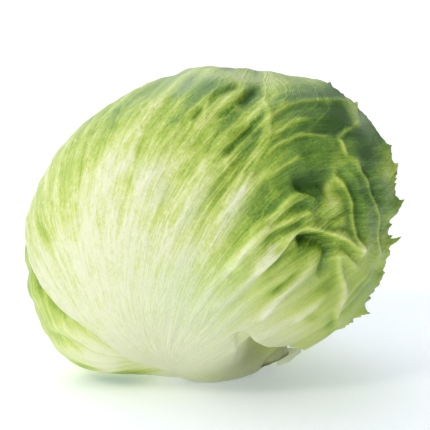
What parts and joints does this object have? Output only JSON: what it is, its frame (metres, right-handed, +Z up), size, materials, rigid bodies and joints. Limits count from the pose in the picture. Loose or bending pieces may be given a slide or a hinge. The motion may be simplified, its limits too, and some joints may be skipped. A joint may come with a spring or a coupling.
{
  "type": "iceberg lettuce head",
  "caption": "Whole crisphead lettuce lying on its base: wrapped overlapping leaves with fanned ribs and a frilled edge, round a pale heart and a short cut stem.",
  "frame": {"origin": "on the surface that the head lies on, under the middle of its bounding box", "axes": "+Z up; +X to the right of the head's front, seen from the front; +Y from the front to the back"},
  "size_m": [0.188, 0.1613, 0.1535],
  "materials": {
    "outer_leaf": "fresh waxy lettuce leaf, pale green to yellow-green, soft sheen, pale ribs",
    "inner_leaf": "pale crisp inner lettuce leaf, cream to light green, soft sheen",
    "heart_leaves": "cream-yellow pressed heart leaves, soft sheen",
    "cut_stem": "cut stem, off-white and moist, browned along the cut edge"
  },
  "bodies": {
    "root": {"front_leaf": "outer_leaf", "left_under_leaf": "outer_leaf", "right_under_leaf": "outer_leaf", "back_left_leaf": "outer_leaf", "back_right_leaf": "outer_leaf", "low_back_leaf": "outer_leaf", "top_back_leaf": "outer_leaf", "head_leaf_1": "inner_leaf", "head_leaf_2": "inner_leaf", "head_leaf_3": "inner_leaf", "head_leaf_4": "inner_leaf", "head_leaf_5": "inner_leaf", "head_leaf_6": "inner_leaf", "head_leaf_7": "inner_leaf", "head_leaf_8": "inner_leaf", "heart": "heart_leaves", "leaf_stub": "cut_stem", "stem": "cut_stem"}
  },
  "joints": []
}
